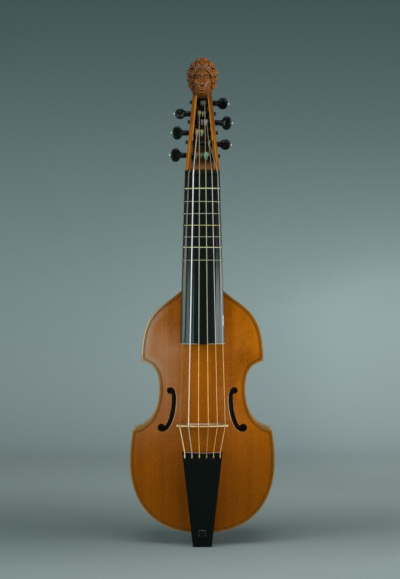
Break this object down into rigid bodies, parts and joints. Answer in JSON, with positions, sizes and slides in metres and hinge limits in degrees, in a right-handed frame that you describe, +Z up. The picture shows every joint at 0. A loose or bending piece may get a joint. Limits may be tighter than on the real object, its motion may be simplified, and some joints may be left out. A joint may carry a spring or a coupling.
{
  "type": "pardessus de viole",
  "caption": "Small bowed viol with sloping shoulders, C-shaped sound holes, tied gut frets, an open pegbox with turning pegs and a carved head.",
  "frame": {"origin": "middle of the flat lower end of the tailpiece, the lowest point of the upright instrument", "axes": "+Z runs up along the neck, -Y is the front with the strings, +X is the treble side (viewer's right)"},
  "size_m": [0.1828, 0.0946, 0.6138],
  "materials": {
    "spruce_varnish": "satin orange-brown varnish over fine straight grain",
    "maple_varnish": "satin orange-brown varnish",
    "bare_wood": "unvarnished",
    "carved_wood": "glossy red-brown varnish over carving",
    "ebony": "polished black",
    "peg_ebony": "black, turned, satin",
    "bone": "polished",
    "bridge_maple": "unvarnished, smooth",
    "fret_gut": "translucent, satin",
    "wound_string": "fine wound wire, dulled",
    "silvered_string": "fine wound wire",
    "gut_string": "satin",
    "thin_gut_string": "satin"
  },
  "bodies": {
    "instrument": {"back": "maple_varnish", "back_brace_lower": "bare_wood", "back_brace_upper": "bare_wood", "bass_bar": "bare_wood", "belly": "spruce_varnish", "bottom_block": "bare_wood", "bridge": "bridge_maple", "carved_head": "carved_wood", "corner_block_lower_bass": "bare_wood", "corner_block_lower_treble": "bare_wood", "corner_block_upper_bass": "bare_wood", "corner_block_upper_treble": "bare_wood", "fingerboard": "ebony", "hook_bar": "maple_varnish", "neck_and_pegbox": "maple_varnish", "nut": "ebony", "rib_lower_bass": "maple_varnish", "rib_lower_treble": "maple_varnish", "rib_middle_bass": "maple_varnish", "rib_middle_treble": "maple_varnish", "rib_upper_bass": "maple_varnish", "rib_upper_treble": "maple_varnish", "soundpost": "bare_wood", "string_1": "wound_string", "string_2": "silvered_string", "string_3": "gut_string", "string_4": "gut_string", "string_5": "thin_gut_string", "string_6": "thin_gut_string", "tailpiece": "ebony", "top_block": "bare_wood"},
    "peg_body_bass_1": {"peg_bass_1": "peg_ebony", "peg_pip_bass_1": "bone", "string_winding_1": "wound_string"},
    "peg_body_bass_2": {"peg_bass_2": "peg_ebony", "peg_pip_bass_2": "bone", "string_winding_2": "silvered_string"},
    "peg_body_bass_3": {"peg_bass_3": "peg_ebony", "peg_pip_bass_3": "bone", "string_winding_3": "gut_string"},
    "peg_body_treble_3": {"peg_treble_3": "peg_ebony", "peg_pip_treble_3": "bone", "string_winding_4": "gut_string"},
    "peg_body_treble_2": {"peg_treble_2": "peg_ebony", "peg_pip_treble_2": "bone", "string_winding_5": "thin_gut_string"},
    "peg_body_treble_1": {"peg_treble_1": "peg_ebony", "peg_pip_treble_1": "bone", "string_winding_6": "thin_gut_string"},
    "fret_body_1": {"fret_1": "fret_gut"},
    "fret_body_2": {"fret_2": "fret_gut"},
    "fret_body_3": {"fret_3": "fret_gut"},
    "fret_body_4": {"fret_4": "fret_gut"},
    "fret_body_5": {"fret_5": "fret_gut"},
    "fret_body_6": {"fret_6": "fret_gut"},
    "fret_body_7": {"fret_7": "fret_gut"}
  },
  "joints": [
    {"name": "peg_turn_bass_1", "type": "hinge", "parent": "instrument", "child": "peg_body_bass_1", "pos_m": [0, 0.0132, 0.49029], "axis": [-0.9997, 0, 0.0262], "continuous": true},
    {"name": "peg_turn_bass_2", "type": "hinge", "parent": "instrument", "child": "peg_body_bass_2", "pos_m": [0, 0.01826, 0.51978], "axis": [-1, 0, 0], "continuous": true},
    {"name": "peg_turn_bass_3", "type": "hinge", "parent": "instrument", "child": "peg_body_bass_3", "pos_m": [0, 0.02015, 0.54411], "axis": [-1, 0, 0], "continuous": true},
    {"name": "peg_turn_treble_3", "type": "hinge", "parent": "instrument", "child": "peg_body_treble_3", "pos_m": [0, 0.02053, 0.5584], "axis": [0.999, 0, -0.0454], "continuous": true},
    {"name": "peg_turn_treble_2", "type": "hinge", "parent": "instrument", "child": "peg_body_treble_2", "pos_m": [0, 0.01956, 0.53339], "axis": [0.9995, 0, -0.0332], "continuous": true},
    {"name": "peg_turn_treble_1", "type": "hinge", "parent": "instrument", "child": "peg_body_treble_1", "pos_m": [0, 0.01636, 0.50655], "axis": [0.998, 0, -0.0628], "continuous": true},
    {"name": "fret_slide_1", "type": "slide", "parent": "instrument", "child": "fret_body_1", "axis": [0, -0.0556, -0.9985], "range_m": [-0.002, 0.002]},
    {"name": "fret_slide_2", "type": "slide", "parent": "instrument", "child": "fret_body_2", "axis": [0, -0.0556, -0.9985], "range_m": [-0.002, 0.002]},
    {"name": "fret_slide_3", "type": "slide", "parent": "instrument", "child": "fret_body_3", "axis": [0, -0.0556, -0.9985], "range_m": [-0.002, 0.002]},
    {"name": "fret_slide_4", "type": "slide", "parent": "instrument", "child": "fret_body_4", "axis": [0, -0.0556, -0.9985], "range_m": [-0.002, 0.002]},
    {"name": "fret_slide_5", "type": "slide", "parent": "instrument", "child": "fret_body_5", "axis": [0, -0.0556, -0.9985], "range_m": [-0.002, 0.002]},
    {"name": "fret_slide_6", "type": "slide", "parent": "instrument", "child": "fret_body_6", "axis": [0, -0.0556, -0.9985], "range_m": [-0.002, 0.002]},
    {"name": "fret_slide_7", "type": "slide", "parent": "instrument", "child": "fret_body_7", "axis": [0, -0.0556, -0.9985], "range_m": [-0.002, 0.002]}
  ]
}
